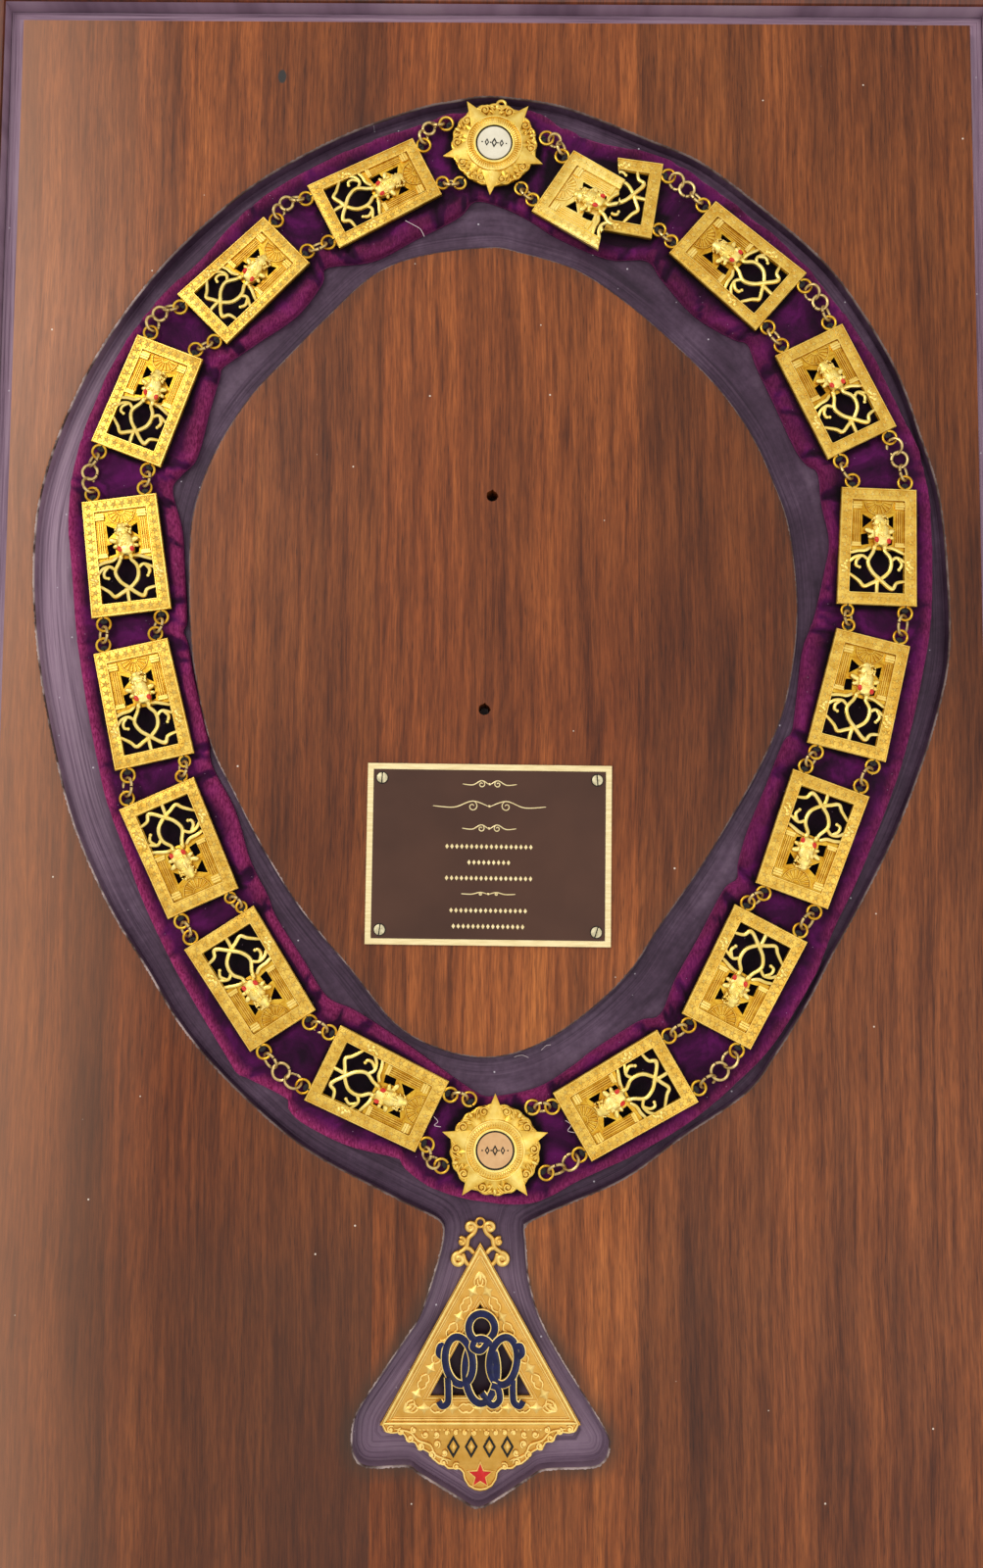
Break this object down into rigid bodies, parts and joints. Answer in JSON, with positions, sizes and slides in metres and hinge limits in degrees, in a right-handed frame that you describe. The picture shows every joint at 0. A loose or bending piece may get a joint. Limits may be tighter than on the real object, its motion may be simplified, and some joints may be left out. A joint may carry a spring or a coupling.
{
  "type": "chain of office on a fitted display board",
  "caption": "Chain of office: pierced gilt plates, star medallions and rings on a padded velvet collar, with a triangular jewel, laid in the fitted recess of a framed wooden display board.",
  "frame": {"origin": "centre of the board's underside, frame included", "axes": "+Z out of the board's face, +Y from the jewel toward the top medallion, +X to the right seen from the front"},
  "size_m": [0.4418, 0.6838, 0.0236],
  "materials": {
    "walnut": "oiled walnut veneer with straight grain, pocket floors painted dull purple-grey",
    "recess_paint": "thin purple-grey paint over routed wood, worn pale in bands",
    "frame_wood": "satin brown wood moulding",
    "name_plate": "dark brown lacquered plate with a bright brass border",
    "name_border": "bare bright brass border",
    "screw": "aged brass slotted screws",
    "velvet": "deep purple velvet with bright pile at rolled edges",
    "gilt": "gilt cast metal, satin with bright raised edges",
    "ring_wire": "duller bronze-gold wire, lightly tarnished",
    "eye_stone": "small domed red paste stones",
    "blue_enamel": "glossy navy enamel in gold outlines",
    "red_enamel": "glossy red enamel star",
    "cream_enamel": "cream disc of the upper medallion, left bare",
    "thread": "black sewing thread ties",
    "lint": "pale threads and lint on the velvet"
  },
  "bodies": {
    "root": {"board": "walnut", "frame": "frame_wood", "jewel": "gilt", "medallion_bottom": "gilt", "medallion_top": "gilt", "name_plate": "name_plate", "plate_left_1": "gilt", "plate_left_2": "gilt", "plate_left_3": "gilt", "plate_left_4": "gilt", "plate_left_5": "gilt", "plate_left_6": "gilt", "plate_left_7": "gilt", "plate_left_8": "gilt", "plate_right_1_antler_half": "gilt", "plate_right_1_head_half": "gilt", "plate_right_2": "gilt", "plate_right_3": "gilt", "plate_right_4": "gilt", "plate_right_5": "gilt", "plate_right_6": "gilt", "plate_right_7": "gilt", "plate_right_8": "gilt", "rings_01_inner": "ring_wire", "rings_01_outer": "ring_wire", "rings_02_inner": "ring_wire", "rings_02_outer": "ring_wire", "rings_03_inner": "ring_wire", "rings_03_outer": "ring_wire", "rings_04_inner": "ring_wire", "rings_04_outer": "ring_wire", "rings_05_inner": "ring_wire", "rings_05_outer": "ring_wire", "rings_06_inner": "ring_wire", "rings_06_outer": "ring_wire", "rings_07_inner": "ring_wire", "rings_07_outer": "ring_wire", "rings_08_inner": "ring_wire", "rings_08_outer": "ring_wire", "rings_09_inner": "ring_wire", "rings_09_outer": "ring_wire", "rings_10_inner": "ring_wire", "rings_10_outer": "ring_wire", "rings_11_inner": "ring_wire", "rings_11_outer": "ring_wire", "rings_12_inner": "ring_wire", "rings_12_outer": "ring_wire", "rings_13_inner": "ring_wire", "rings_13_outer": "ring_wire", "rings_14_inner": "ring_wire", "rings_14_outer": "ring_wire", "rings_15_inner": "ring_wire", "rings_15_outer": "ring_wire", "rings_16_inner": "ring_wire", "rings_16_outer": "ring_wire", "rings_17_inner": "ring_wire", "rings_17_outer": "ring_wire", "rings_18_inner": "ring_wire", "rings_18_outer": "ring_wire", "velvet_collar": "velvet"}
  },
  "joints": []
}
